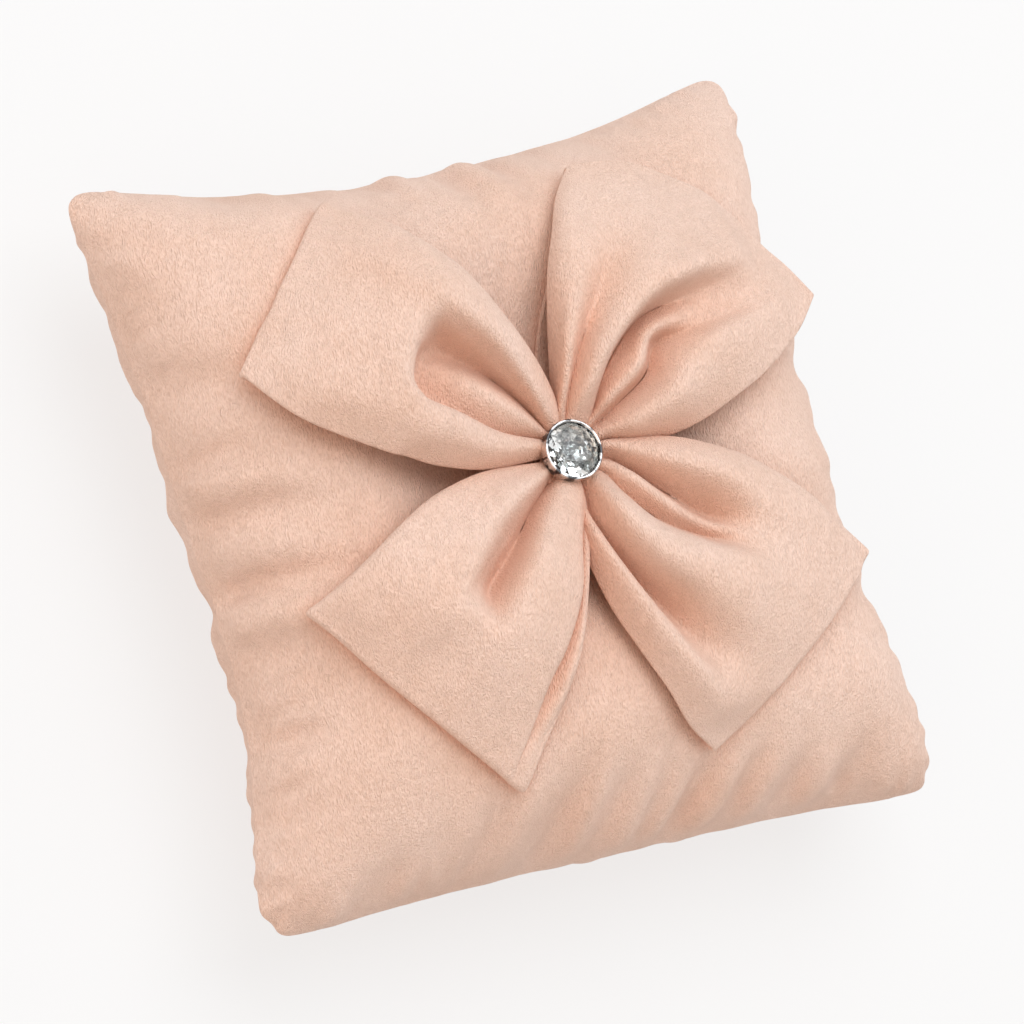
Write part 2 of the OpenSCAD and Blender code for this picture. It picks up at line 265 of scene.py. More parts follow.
# The photograph's view: degrees round the pillow, above the floor and of the camera's own tilt
VIEW_AZIMUTH = -71.35
VIEW_ELEVATION = 61.11
VIEW_ROLL = 57.84
VIEW_TARGET = (-0.0003, -0.0056, SEAM_Z * MM)
VIEW_FAR = 1.603  # metres from the target
VIEW_LENS = 210.94  # mm, on a sensor of 36 mm

FLOOR_HALF = 6  # half the floor's side, in metres
FLOOR_GLOW = 0.70  # a lit studio floor is nearly white

# The two lights: a way out, as parts of the camera's right, up and back, then size and power
KEY = ((0.62, 0.9, 0.85), 2.2, 23.5)
KEY_COLOUR = (0.98, 1.0, 1.02)
FILL = ((-0.35, -0.25, 1.0), 1.6, 5.5)
FILL_COLOUR = (1.0, 0.81, 0.69)
LIGHT_FAR = 2.0  # metres from the middle of the floor
LIGHT_AIM = (0, 0, 0.03)


def make_camera():
    """A long lens far off, above the cushion's lower left, rolled to the photograph's tilt."""
    azimuth, elevation = radians(VIEW_AZIMUTH), radians(VIEW_ELEVATION)
    back = Vector((sin(azimuth) * cos(elevation),
                   -cos(azimuth) * cos(elevation), sin(elevation)))
    data = bpy.data.cameras.new("camera")
    data.lens = VIEW_LENS
    data.sensor_width = 36
    data.clip_start = 0.1
    data.clip_end = 20
    camera = new_object("camera", data)
    camera.location = Vector(VIEW_TARGET) + back * VIEW_FAR
    turn = (-back).to_track_quat("-Z", "Y").to_matrix().to_4x4()
    roll = Matrix.Rotation(radians(VIEW_ROLL), 4, "Z")
    camera.matrix_world = Matrix.Translation(camera.location) @ turn @ roll
    bpy.context.scene.camera = camera
    return camera


def area_light(name, way, size, power, colour):
    """Round soft light, out along a way from the floor's middle and aimed at the pillow."""
    data = bpy.data.lights.new(name, "AREA")
    data.shape = "DISK"
    data.size = size
    data.energy = power
    data.color = colour
    light = new_object(name, data)
    light.location = way.normalized() * LIGHT_FAR
    aim = Vector(LIGHT_AIM) - light.location
    light.rotation_euler = aim.to_track_quat("-Z", "Y").to_euler()


def paint_world(tree, pale_way):
    """A pale studio with darker gaps between its soft boxes, which the crystal and silver show.
    It is cool and bright along the pale way, and warm on the other side."""
    way = add_node(tree, "TexCoord").outputs["Generated"]
    tones = ramp(tree, noise(tree, way, 2.3, 1.0), (0.41, (0.06, 0.06, 0.065)),
                 (0.46, (0.76, 0.73, 0.71)), (0.60, (0.86, 0.84, 0.82)), (0.66, grey(1.1)))
    side = add_node(tree, "VectorMath", {0: way, 1: pale_way}, operation="DOT_PRODUCT")
    share = add_node(tree, "Math", {0: side.outputs["Value"], 1: 0.5, 2: 0.5},
                     operation="MULTIPLY_ADD")
    tint = ramp(tree, share.outputs[0], (0.2, (1.0, 0.80, 0.68)), (0.5, (1.02, 0.98, 0.94)),
                (0.85, (1.22, 1.28, 1.34)))
    background = tree.nodes["Background"]
    tree.links.new(blend_colours(tree, 1.0, tones, tint, "MULTIPLY"), background.inputs["Color"])
    background.inputs["Strength"].default_value = 0.97


def make_floor():
    """Large pale floor, with a little light of its own."""
    half = FLOOR_HALF
    corners = [(-half, -half, 0), (half, -half, 0), (half, half, 0), (-half, half, 0)]
    mesh = bpy.data.meshes.new("floor")
    mesh.from_pydata(corners, [], [(0, 1, 2, 3)])
    floor = new_object("floor", mesh)
    material, _, _ = new_material("floor", Base_Color=(0.205, 0.205, 0.205, 1), Roughness=0.7,
                                  Specular_IOR_Level=0.2, Emission_Color=(1.0, 1.0, 1.0, 1),
                                  Emission_Strength=FLOOR_GLOW)
    floor.data.materials.append(material)


def make_stage(camera):
    """Floor, painted world and two lights, set round the camera's own axes."""
    make_floor()
    world = bpy.data.worlds.new("studio")
    bpy.context.scene.world = world
    world.use_nodes = True
    axes = camera.matrix_world.to_3x3()
    paint_world(world.node_tree, (axes @ Vector((1, 1, 0))).normalized())
    for name, (way, size, power), colour in (("key", KEY, KEY_COLOUR), ("fill", FILL, FILL_COLOUR)):
        area_light(name, axes @ Vector(way), size, power, colour)
    bpy.context.scene.view_settings.view_transform = "Standard"


# ---------------- the cushion's cloth simulation

PANEL_SIDE = 209.5
CORNER_SHARPNESS = 18  # of the panel's rounded corners
# How far each side of the flat cut bows out at its middle
BOW = {"right": 5.5, "left": 5.0, "top": 0.0, "bottom": 12.3}
STAGES = ((29, 250), (57, 250), (113, 220))  # points along a side, and steps, each one finer
SWELL = 30  # how far each panel bulges at the start
PRESSURE = 0.002  # of the filling, at each step
UNEVEN = 0.05  # nudge that lets the cloth buckle unevenly
TUFT_FRONT_R = 5.0  # the tuft thread holds the front inside this radius ...
TUFT_FRONT_Z = 63.0  # ... at this height, and the back likewise
TUFT_BACK_R = 8.0
TUFT_BACK_Z = 10.0
# Where the four corner tips end up, by corner of the panel's grid
TIPS = {(0, 0): (-99.8, -99.2), (0, -1): (-100.6, 98.6),
        (-1, 0): (99.4, -98.8), (-1, -1): (97.4, 102.0)}
SIDE_DRAW = 4.8  # how far the left side draws in, at most ...
SIDE_DRAW_Y = -42.0  # ... below its middle, here
SIDE_DRAW_WIDTH = 34.0  # how far along the side that fades
SIDE_DRAW_FROM = 50.0  # and how far from the middle it begins
DIP = 7.0  # how much deeper the bow and button press the front, at most
DIP_AT = 32.0  # how far from the centre that is
DIP_WIDTH = 20.0  # how far to either side it fades
SEAM_CALM = 9.0  # wrinkles fade this close to the edge seam, ...
SEAM_SHARE = 0.12  # ... to this share of their height
TUFT_CALM = 12.0  # this close to the centre there are none, ...
TUFT_FADE = 20.0  # ... and they come in over this distance
FLOOR_CALM = 4.0  # they also fade this close to the floor
SEAM_LIP = 0.7  # how far the sewn edge stands out

ALL = slice(None)
RIM = ((0,), (-1,), (ALL, 0), (ALL, -1))  # a panel's four edges, as places in its grid


def smooth_step(t):
    """Ease from 0 to 1, and stay there."""
    t = np.clip(t, 0, 1)
    return t * t * (3 - 2 * t)


def unit(v):
    """Vectors made one long, where they have a length."""
    return v / np.maximum(np.linalg.norm(v, axis=-1, keepdims=True), 1e-9)


def flat_panel(n):
    """Grid of the flat cut of one panel: a square with rounded corners and bowed-out sides."""
    u = np.linspace(-1, 1, n)
    x, y = np.meshgrid(u, u, indexing="ij")
    angle = np.arctan2(y, x)
    c = np.maximum(abs(np.cos(angle)), 1e-3)
    s = np.maximum(abs(np.sin(angle)), 1e-3)
    reach = np.maximum(abs(x), abs(y))
    corner = (c ** CORNER_SHARPNESS + s ** CORNER_SHARPNESS) ** (-1 / CORNER_SHARPNESS)
    rounded = corner * np.maximum(c, s)
    bow = np.where(c > s, np.where(x > 0, BOW["right"], BOW["left"]),
                   np.where(y > 0, BOW["top"], BOW["bottom"]))
    bow = bow * (1 - (np.minimum(c, s) / np.maximum(c, s)) ** 2) * reach ** 2
    scale = (1 + reach ** 6 * (rounded - 1)) * PANEL_SIDE / 2 + bow
    return np.stack([x * scale, y * scale, 0 * x], -1)


def grid_links(n):
    """Pairs of slices of grid points: (kind, first, second). No point is twice in one pair."""
    found = []
    for k in (0, 1):
        m = (n - k) // 2
        a, b = slice(k, k + 2 * m, 2), slice(k + 1, k + 1 + 2 * m, 2)
        found += [("edge", (ALL, a, ALL), (ALL, b, ALL)),
                  ("edge", (ALL, ALL, a), (ALL, ALL, b)),
                  ("shear", (ALL, a, slice(0, n - 1)), (ALL, b, slice(1, n))),
                  ("shear", (ALL, a, slice(1, n)), (ALL, b, slice(0, n - 1)))]
    for k in range(4):
        m = len(range(k, n - 2, 4))
        a, b = slice(k, k + 4 * m - 3, 4), slice(k + 2, k + 4 * m - 1, 4)
        found += [("bend", (ALL, a, ALL), (ALL, b, ALL)),
                  ("bend", (ALL, ALL, a), (ALL, ALL, b))]
    return found


def grid_normals(p):
    """Outward normals of both panels. Their lengths are the areas of the cells."""
    along_u, along_v = np.gradient(p, axis=1), np.gradient(p, axis=2)
    normal = np.cross(along_u, along_v)
    normal[1] *= -1
    return normal


def relax_panels(p, rest, steps, slack=0.3, fold=0.1, calm=0.97, settle=0.05, grip=0.3):
    """Front and back panel, sewn at their edges and blown up: each link is pulled towards its
    flat length, weakly where it is pressed together, which lets the cloth buckle."""
    n = p.shape[1]
    links = [(kind, a, b, np.linalg.norm(rest[b] - rest[a], axis=-1)) for kind, a, b in grid_links(n)]
    pulls = {"edge": (1.0, slack), "shear": (0.5, 0.5 * slack), "bend": (0.0, fold)}
    cell = rest[0, n // 2 + 1, 0, 0] - rest[0, n // 2, 0, 0]
    reach = np.hypot(rest[0, ..., 0], rest[0, ..., 1])
    pinned = (reach < TUFT_FRONT_R, reach < TUFT_BACK_R)
    free = ~np.stack(pinned)
    speed = np.zeros_like(p)
    for _ in range(steps):
        before = p.copy()
        p = p + speed * calm + PRESSURE * grid_normals(p) / cell ** 2
        for kind, a, b, length in links:
            pa, pb = p[a], p[b]
            gap = pb - pa
            now = np.maximum(np.sqrt((gap * gap).sum(-1)), 1e-6)
            strain = (now - length) / now
            stretch, press = pulls[kind]
            move = gap * (0.5 * strain * np.where(strain > 0, stretch, press))[..., None]
            p[a] = pa + move
            p[b] = pb - move
        for rim in RIM:
            p[0][rim] = p[1][rim] = (p[0][rim] + p[1][rim]) / 2
        for panel, height in ((0, TUFT_FRONT_Z), (1, TUFT_BACK_Z)):
            p[panel][pinned[panel]] = rest[panel][pinned[panel]] + (0, 0, height)
        edge = np.concatenate([p[0][rim] for rim in RIM])
        p[free] -= (edge.mean(0) - (0, 0, SEAM_Z)) * settle
        floor = p[..., 2] < 0
        p[..., 2] = np.maximum(p[..., 2], 0)
        speed = p - before
        speed[floor] *= grip
    return p


def finer(p, rows, columns):
    """The same surfaces on a finer grid of points, by Catmull-Rom curves."""
    for axis, n in ((1, rows), (2, columns)):
        old = p.shape[axis]
        t = np.linspace(0, old - 1, n)
        i = np.clip(np.floor(t).astype(int), 0, old - 2)
        f = (t - i).reshape([-1 if k == axis else 1 for k in range(p.ndim)])
        a, b, c, d = (np.take(p, np.clip(i + k, 0, old - 1), axis) for k in (-1, 0, 1, 2))
        p = 0.5 * (2 * b + (c - a) * f + (2 * a - 5 * b + 4 * c - d) * f ** 2
                   + (3 * b - a - 3 * c + d) * f ** 3)
    return p


def simulate_cushion():
    """Both panels, swollen from their flat cut stage by stage and drawn to the tufted shape."""
    p = None
    for n, steps in STAGES:
        rest = np.stack([flat_panel(n)] * 2)
        if p is None:
            p = rest.copy()
            swell = SWELL * (1 - (np.abs(p[..., :2]).max(-1) / (PANEL_SIDE / 2)) ** 2)
            p[0, ..., 2] = SEAM_Z + swell[0]
            p[1, ..., 2] = SEAM_Z - swell[1]
        else:
            p = finer(p, n, n)
            if n == STAGES[1][0]:
                p += rng.normal(0, UNEVEN, p.shape)
        p = relax_panels(p, rest, steps)
    p = pull_tips(p)
    reach = np.hypot(p[0, ..., 0], p[0, ..., 1])
    p[0, ..., 2] -= DIP * np.exp(-((reach - DIP_AT) / DIP_WIDTH) ** 2)
    return p


def pull_tips(p):
    """Bring the four corner tips to their places and draw the left side in, and the cloth
    between them along."""
    u = np.linspace(0, 1, p.shape[1])
    moved = p.copy()
    for (i, j), tip in TIPS.items():
        share = np.outer(u if i else 1 - u, u if j else 1 - u) ** 2
        moved[..., :2] += share[..., None] * (np.array(tip) - p[0, i, j, :2])
    x, y = moved[..., 0], moved[..., 1]
    near_side = smooth_step((-x - SIDE_DRAW_FROM) / SIDE_DRAW_FROM)
    moved[..., 0] += SIDE_DRAW * near_side * np.exp(-((y - SIDE_DRAW_Y) / SIDE_DRAW_WIDTH) ** 2)
    return moved


# Creases and folds that the seams and the tufting draw into the cushion:
# (from x, y, at the seam, to x, y, width, height), where a crease has a height below 0
WRINKLES = (
    # left side
    (-93, -14, -58, -18, 3.2, -2.2), (-92, -30, -70, -35, 3.2, -1.8), (-93, -55, -76, -58, 3.2, -1.8),
    (-91, 6, -62, 0, 3.2, -1.8), (-92, 22, -70, 17, 4, -1.4), (-92, -4, -68, -9, 4, 1.2),
    (-92, -22, -68, -27, 4, 1.2), (-93, -44, -76, -47, 4, 1.2), (-92, 42, -72, 36, 4.8, -1.2),
    (-94, -74, -82, -73, 3.2, -1.1), (-91, 14, -66, 8, 3.2, 1),
    # top side
    (8, 92, 10, 64, 3.5, 1.9), (14, 92, 18, 66, 3.5, -1.5), (0, 92, 3, 68, 3.5, -1.2),
    (-15, 92, -5, 62, 5, 1.3), (-23, 92, -12, 66, 4, -1.1), (-44, 92, -36, 72, 5, -1.0),
    (30, 92, 28, 74, 4, -1.0), (48, 93, 44, 76, 5, -0.9), (-66, 94, -58, 80, 6, -0.8),
    # bottom side, where the creases slant
    (-46, -96, -36, -76, 3.5, -1.7), (-36, -97, -26, -72, 3.5, 1.6), (-24, -97, -12, -74, 3.5, -1.7),
    (-16, -97, -5, -74, 3, 1.5), (-8, -97, 0, -80, 3, -1.4), (-1, -97, 8, -77, 3, 1.4),
    (5, -97, 13, -80, 3, -1.2), (9, -97, 19, -77, 3.5, 1.2), (16, -97, 31, -75, 3.5, -2.3),
    (24, -97, 37, -79, 3.5, 1.2), (31, -97, 44, -78, 3.5, -1.6), (38, -97, 49, -82, 3.5, 1.2),
    (47, -97, 59, -86, 3.5, -1.3), (56, -97, 67, -86, 4, 0.9), (66, -98, 81, -87, 4, -1.4),
    (-62, -96, -51, -84, 4, -1.1), (-74, -97, -64, -88, 4, -0.9),
    # right side
    (97, 26, 80, 22, 3.5, 1.2), (97, 17, 80, 15, 3.5, -1.2), (97, 8, 80, 7, 3.5, 1.0),
    (97, -3, 78, -3, 4, -1.0), (97, -28, 78, -24, 4, -1.0), (97, -48, 80, -42, 5, -0.9),
    (96, 46, 78, 42, 5, -1.0),
)


def calm_seam(p, passes=150, reach=18.0):
    """Smooth the seam's difference from the flat cut's outline, which takes the small buckles
    out, and ease the cloth within reach of the seam along."""
    u = np.linspace(-1, 1, p.shape[1])
    flat = flat_panel(p.shape[1])[None]
    moved, weight = 0, 0
    for rim in RIM:
        at_side = (ALL, *rim)
        drawn = p[at_side][0] - flat[at_side][0]
        calm = drawn.copy()
        for _ in range(passes):
            calm[1:-1] = (calm[:-2] + 2 * calm[1:-1] + calm[2:]) / 4
        gap = (1 + u if rim[-1] == 0 else 1 - u) * PANEL_SIDE / 2
        across = (ALL, None, None) if len(rim) == 1 else (None, ALL, None)
        along = (None, ALL) if len(rim) == 1 else (ALL, None)
        fade = (1 - smooth_step(gap / reach))[across]
        moved = moved + fade * (calm - drawn)[along]
        weight = weight + fade
    return p + moved / np.maximum(weight, 1)


def add_ripples(lift, x, y, count=14, height=0.22):
    """Add the filling's broad shallow unevenness: waves of all directions across the panels."""
    for _ in range(count):
        turn, wave, phase = rng.uniform(0, pi), rng.uniform(28, 60), rng.uniform(0, 2 * pi, 2)
        ripple = np.sin((x * cos(turn) + y * sin(turn)) * 2 * pi / wave + phase[0])
        lift += height * ripple * np.sin((y - x) / 31 + phase[1])


def wrinkle(p, deepen=1.25, back_share=0.5):
    """Draw the wrinkles and the filling's broad unevenness into the panels, along their normals."""
    normal = unit(grid_normals(p))
    for rim in RIM:
        normal[0][rim] = normal[1][rim] = unit(normal[0][rim] + normal[1][rim])
    x, y = p[..., 0], p[..., 1]
    lift = np.zeros(x.shape)
    for x0, y0, x1, y1, width, height in WRINKLES:
        run = np.array((x1 - x0, y1 - y0), float)
        length = np.hypot(*run)
        run /= length
        along = ((x - x0) * run[0] + (y - y0) * run[1]) / length
        aside = (x - x0) * run[1] - (y - y0) * run[0]
        taper = smooth_step((along + 0.5) / 0.5) * smooth_step((1.05 - along) / 0.8)
        lift += height * taper * np.exp(-(aside / (width * (1 + 0.25 * along))) ** 2)
    lift[1] *= back_share
    add_ripples(lift, x, y)
    lift *= deepen
    to_seam = (1 - np.abs(np.linspace(-1, 1, p.shape[1]))) * PANEL_SIDE / 2
    fade = smooth_step(np.minimum.outer(to_seam, to_seam) / SEAM_CALM)
    lift *= SEAM_SHARE + (1 - SEAM_SHARE) * fade
    outside_tuft = smooth_step((np.hypot(x, y) - TUFT_CALM) / TUFT_FADE)
    off_floor = smooth_step(p[..., 2] / FLOOR_CALM)
    return p + normal * (lift * outside_tuft * off_floor)[..., None]


def pinch_seam(p):
    """Push the sewn edge out into a narrow lip, as the seam allowance inside does."""
    for rim, inner in zip(RIM, ((1,), (-2,), (ALL, 1), (ALL, -2))):
        outward = unit(p[0][rim] - (p[0][inner] + p[1][inner]) / 2)
        p[0][rim] = p[1][rim] = p[0][rim] + outward * SEAM_LIP
    return p


def cushion_mesh(name, p):
    """One closed mesh of both panels, which share the points of their edges."""
    n = p.shape[1]
    front = np.arange(n * n).reshape(n, n)
    back = np.full((n, n), -1)
    for rim in RIM:
        back[rim] = front[rim]
    inner = back < 0
    back[inner] = n * n + np.arange(inner.sum())
    points = np.concatenate([p[0].reshape(-1, 3), p[1][inner]])
    faces = []
    for ids, flip in ((front, False), (back, True)):
        faces += [face[::-1] if flip else face for face in grid_faces(ids)]
    mesh = new_mesh(name, points, faces)
    seam = set(np.concatenate([front[rim] for rim in RIM]))
    crease = mesh.attributes.new("sharp_edge", "BOOLEAN", "EDGE")
    crease.data.foreach_set("value", [all(v in seam for v in e.vertices) for e in mesh.edges])
    return mesh


def make_cushion(panels, material):
    """The cover, which stands for both CAD covers. Gives a tree of its faces for the bow."""
    cover = new_object("cushion_cover", cushion_mesh("cushion_cover", panels))
    cover.data.materials.append(material)
    subdiv = cover.modifiers.new("smooth", "SUBSURF")
    subdiv.levels = subdiv.render_levels = 1
    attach(cover, "cushion")
    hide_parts("front_cover", "back_cover")
    bpy.context.view_layer.update()
    edit = bmesh.new()
    edit.from_mesh(cover.data)
    tree = BVHTree.FromBMesh(edit)
    edit.free()
    return tree


# ---------------- the bow

# Each loop's upper layer hangs on ribs, from side to side. A rib runs from the waist to the fold
# at the loop's outer end, through points (out along the loop, across it to the left, height).
UPPER_LEFT_RIBS = (
    # side edge, tucked under the upper roll
    ((4, -2, 70), (10, -4, 69.5), (20, -11, 73), (32, -19, 77),
     (44, -25, 78), (52, -27, 77), (68, -28, 73), (86.5, -29.5, 65)),
    # upper roll, far flank
    ((4, -1.5, 71), (7, -9, 73), (18, -15, 78), (32, -19, 83),
     (46, -22, 86), (55, -24, 85), (71, -27, 78), (87, -27, 66)),
    # upper roll, crest
    ((4, -1, 72), (7, -5, 75), (20, -8.5, 82.5), (35, -11.5, 89),
     (50, -13, 91), (57, -14, 90), (73, -16, 82), (87.5, -20, 67.5)),
    # wall over the deep valley
    ((4, -0.5, 71.5), (7, -3.5, 73.5), (18, -6.5, 77.5), (34, -8.5, 83),
     (48, -9, 87.5), (56, -8, 90), (72, -8, 82), (87.5, -13, 69)),
    # deep valley
    ((4, -0.5, 70.5), (6, -3.5, 70), (18, -6, 72.5), (31, -6.5, 74.5),
     (46, -5.5, 76.5), (55, -2, 89.5), (72, -2, 82), (87.5, -6, 69.5)),
    # middle flap
    ((4, 0, 71.5), (7, -1.5, 73.5), (20, 0, 79), (33, 0.5, 80),
     (48, 2, 77), (54.5, 4.5, 89.5), (72, 5, 82), (87.5, 0.5, 70)),
    # shallow valley
    ((4, 0.5, 70.5), (6, -0.5, 71), (20, 6, 75), (32, 9, 76.5),
     (46, 10.5, 77), (52, 11.5, 89), (71, 12, 81), (87, 7, 69.5)),
    # rim of the lower roll
    ((4, 1, 71.5), (7, 1, 74), (20, 8.5, 80), (34, 12.5, 85.5),
     (42, 15, 87.5), (49, 16.5, 88.5), (70, 19, 80.5), (87, 13, 68.5)),
    # lower roll, crest
    ((4, 1.5, 72), (7, 2.5, 75), (20, 13, 81), (34, 19, 86),
     (41, 22, 87), (48, 22, 86), (69, 25, 79.5), (86.5, 19, 67.5)),
    # lower side edge
    ((4, 2, 71), (5, 3, 72), (18, 16, 76), (31, 24, 79),
     (40, 27, 80), (47, 29, 79.5), (68, 31, 75), (86, 25.5, 66)),
)
LOWER_LEFT_RIBS = (
    # side edge, tucked under
    ((4, -2, 70), (10, -5, 69), (20, -14, 73), (33, -24, 76.5),
     (46, -28, 77), (58, -31, 75), (70, -34, 70.5), (77.5, -36, 67)),
    # upper left flank
    ((4, -2, 71), (6, -4, 72), (21, -17.5, 77), (35, -25, 80),
     (48, -29, 81), (59, -31, 79), (69, -32.5, 74.5), (78, -34, 68)),
    # upper left panel
    ((4, -1.5, 72), (7, -3, 74), (22, -14, 80), (37, -19, 83),
     (50, -22, 84), (61, -25, 82), (71, -25, 76.5), (79, -27, 69.5)),
    # left lip of the hollow
    ((4, -1, 72), (8, -2.5, 75), (23, -8, 83), (37, -10.5, 86),
     (52, -10.5, 88), (63, -10, 86.5), (73, -12, 78.5), (81.5, -15, 71.5)),
    # left wall
    ((4, -0.5, 71), (7, -1, 72.5), (21, -3, 76), (34, -4.5, 79),
     (48, -5, 81.5), (60, -5, 87.5), (73, -5, 79), (83, -6, 73)),
    # slit
    ((4, 0, 70), (7, 0.5, 70), (19, 0, 72), (33, 0.5, 74),
     (47, 0, 76.5), (59, 1, 86.5), (74, 2, 79.5), (84, 3, 74)),
    # right ridge
    ((4, 1, 72), (8, 2.5, 75.5), (24, 3, 83), (37, 4.5, 88),
     (50, 6, 89), (61, 8, 87), (74, 11, 79.5), (84.5, 13, 73.5)),
    # fold edge of the upper layer
    ((4, 1.5, 72), (6, 7, 75), (22, 12.5, 81), (35, 18, 84),
     (49, 21.5, 84), (61, 23, 82), (72, 26, 76.5), (84.5, 28, 71)),
    # crevice
    ((4, 1.5, 70.5), (5, 8, 71), (19, 14, 75), (33, 20, 78),
     (47, 23, 78), (59, 24.5, 76), (72, 27.5, 73), (84.5, 31, 70)),
    # roll of the under layer
    ((4, 2, 71), (7, 9, 73.5), (20, 16, 77.5), (34, 22, 80),
     (47, 27, 80), (59, 29.5, 78), (72, 31, 73.5), (84.5, 33.5, 69.5)),
    # right side edge
    ((4, 2.5, 70), (10, 8, 70), (20, 16, 73), (33, 23, 76),
     (46, 28, 76.5), (58, 31, 75), (72, 33, 71), (84, 35.5, 68.5)),
)
UPPER_RIGHT_RIBS = (
    # left side edge
    ((4, 2.5, 70), (10, 7, 69.5), (18, 15, 73), (29, 24, 76.5),
     (39, 30, 77), (50, 34, 75), (61, 37, 70.5), (74, 38, 66.5)),
    # left panel
    ((4, 2, 71), (9, 7.5, 73), (17, 14, 78), (28, 22, 81),
     (38, 28, 82), (49, 32, 80), (61, 35, 74.5), (76, 36.5, 67)),
    # left crest
    ((4, 1.5, 72), (8, 7, 75), (15, 12, 80), (25, 18, 83.5),
     (37, 23, 85), (48, 26, 83), (63, 29, 76.5), (81, 32, 67)),
    # shallow valley
    ((4, 1, 71), (9, 5.5, 73), (17, 10, 77), (29, 14, 80),
     (41, 17, 82), (53, 19, 82), (67, 22, 77.5), (86, 25, 67)),
    # first ridge
    ((4, 1, 72), (9, 4, 75.5), (15, 6.5, 82), (25, 10, 87),
     (38, 10.5, 89), (52, 10, 89.5), (70, 12, 80), (89, 16, 67.5)),
    # edge over the hollow
    ((4, 0.5, 71.5), (11, 1, 74.5), (18, 4.5, 81), (28, 7.5, 86.5),
     (43, 6.5, 89), (58, 0.5, 90), (76, -7, 81.5), (91.5, 5, 68.5)),
    # floor under the edge
    ((4, 0, 70.5), (13, -1, 71), (21, 2, 74), (31, 4, 75.5),
     (44, 3, 77), (57, -4, 80.5), (75, -14, 79), (92, -3, 68)),
    # inner flap
    ((4, 0, 71.5), (13, -1, 73.5), (19, -1, 79), (29, -2, 83),
     (39, 0, 83), (53, -7, 80.5), (74, -19, 76.5), (91.5, -11, 67.5)),
    # dark hole
    ((4, -0.5, 70.5), (14, -3.5, 71), (21, -5, 73.5), (32, -7, 74.5),
     (42, -5, 75.5), (52, -12, 81.5), (73, -23, 77), (90.5, -19, 67)),
    # right panel, crest
    ((4, -1, 72), (11, -5, 75), (16, -9, 82), (27, -13, 87),
     (40, -14, 87), (53, -19, 85.5), (73, -28, 77), (90, -27, 67)),
    # right side edge
    ((4, -2, 71), (11, -7, 72), (17, -16, 76), (28, -24, 78.5),
     (43, -30, 79), (56, -34, 77), (73, -37, 72), (88, -37, 67.5)),
)
LOWER_RIGHT_RIBS = (
    # upper side edge
    ((4, 2, 70), (8, 11, 69.5), (15, 17, 73), (24, 23, 76),
     (35, 28, 77), (46, 31.5, 75.5), (64, 36, 70.5), (86, 36.5, 67.5)),
    # upper flank
    ((4, 2, 71), (7, 10, 73), (14, 15, 78), (22, 20, 81),
     (34, 25, 83), (45, 29, 81.5), (64, 34, 75.5), (86, 33, 68)),
    # upper flap, crest
    ((4, 1.5, 72), (7, 8.5, 75), (15, 10.5, 80), (23, 12.5, 85),
     (34, 16.5, 87), (47, 21, 85.5), (67, 27, 78), (86.5, 29, 69)),
    # slit
    ((4, 1, 70.5), (10, 7.5, 71), (18, 8, 73), (28, 8.5, 75),
     (40, 10.5, 76.5), (51, 14, 83.5), (69, 19, 78.5), (86, 23, 71)),
    # middle ridge
    ((4, 0.5, 72), (10, 4.5, 74.5), (17, 4, 79.5), (28, 3.5, 81),
     (40, 6, 79.5), (53, 10, 84), (70, 15, 79), (86, 18, 71.5)),
    # floor by the big roll
    ((4, 0.5, 71), (11, 3, 72.5), (18, 0, 75.5), (30, -0.5, 77),
     (42, 3, 78), (54, 6, 85), (71, 10, 79.5), (85.5, 12, 72.5)),
    # rim of the big roll
    ((4, 0, 71.5), (11, 1, 74.5), (17, -3, 81), (28, -6, 86),
     (40, -4, 88.5), (55, 1, 87.5), (71, 5, 80), (85, 6, 73)),
    # big roll, crest
    ((4, -0.5, 72), (10, -2, 75.5), (16, -8, 84), (28, -13, 89),
     (41, -13, 90), (56, -11, 87.5), (71, -7, 80.5), (84, -3, 73)),
    # deep valley
    ((4, -1, 70.5), (12, -7, 71), (19, -13, 73), (30, -17.5, 75),
     (44, -20, 77), (57, -22, 79), (70, -19, 78.5), (83, -11, 73)),
    # left flap, crest
    ((4, -1.5, 71.5), (11, -10, 75), (19, -17, 81), (31, -23, 84.5),
     (45, -28, 86), (58, -31, 85), (70, -31, 79), (81, -23, 71.5)),
    # left side edge
    ((4, -2, 70.5), (11, -12, 72), (19, -20, 75), (31, -28, 77),
     (43, -33, 78), (56, -37, 77.5), (67, -39.5, 73.5), (78, -38, 68)),
)

# The loops: node, ribs, which way it points in degrees, and the width of its flat sheet in metres
LOOPS = (("upper_left_loop", UPPER_LEFT_RIBS, 138, 0.066),
         ("upper_right_loop", UPPER_RIGHT_RIBS, 42.5, 0.072),
         ("lower_left_loop", LOWER_LEFT_RIBS, 223.5, 0.072),
         ("lower_right_loop", LOWER_RIGHT_RIBS, 311, 0.066))
CLOTH = 1.5  # thickness of the bow's cloth
FOLD_R = 0.9  # radius of the fold at a loop's outer end, at the middle of the cloth
FOLD_STEPS = 8
REST_GAP = 0.3  # between the cushion and the bow's lower layer
LOW_LAYER = CLOTH / 2 + REST_GAP  # from the cushion to the middle of the lower layer
LAYER_GAP = 0.15  # between the bow's two layers, where they touch
RIBS_START = 4  # how far out the ribs start
RIB_STEPS = (8, 12)  # from one rib to the next, and between two points of a rib
LOWER_STEPS = 61  # along the lower layer
LOWER_FALL = 3.0  # how far it falls from the fold to the waist, unless the cushion lifts it
LOWER_WIDTH = 0.84  # its width, as a share of the fold's, ...
GATHER = 0.08  # ... and what the gathers leave of that at the waist
WAIST_Z = 70  # its least height at the waist
EDGE_STEPS = 6  # round the cloth's side edges
ABOVE_ALL = 0.2  # metres up, where rays towards the cushion start


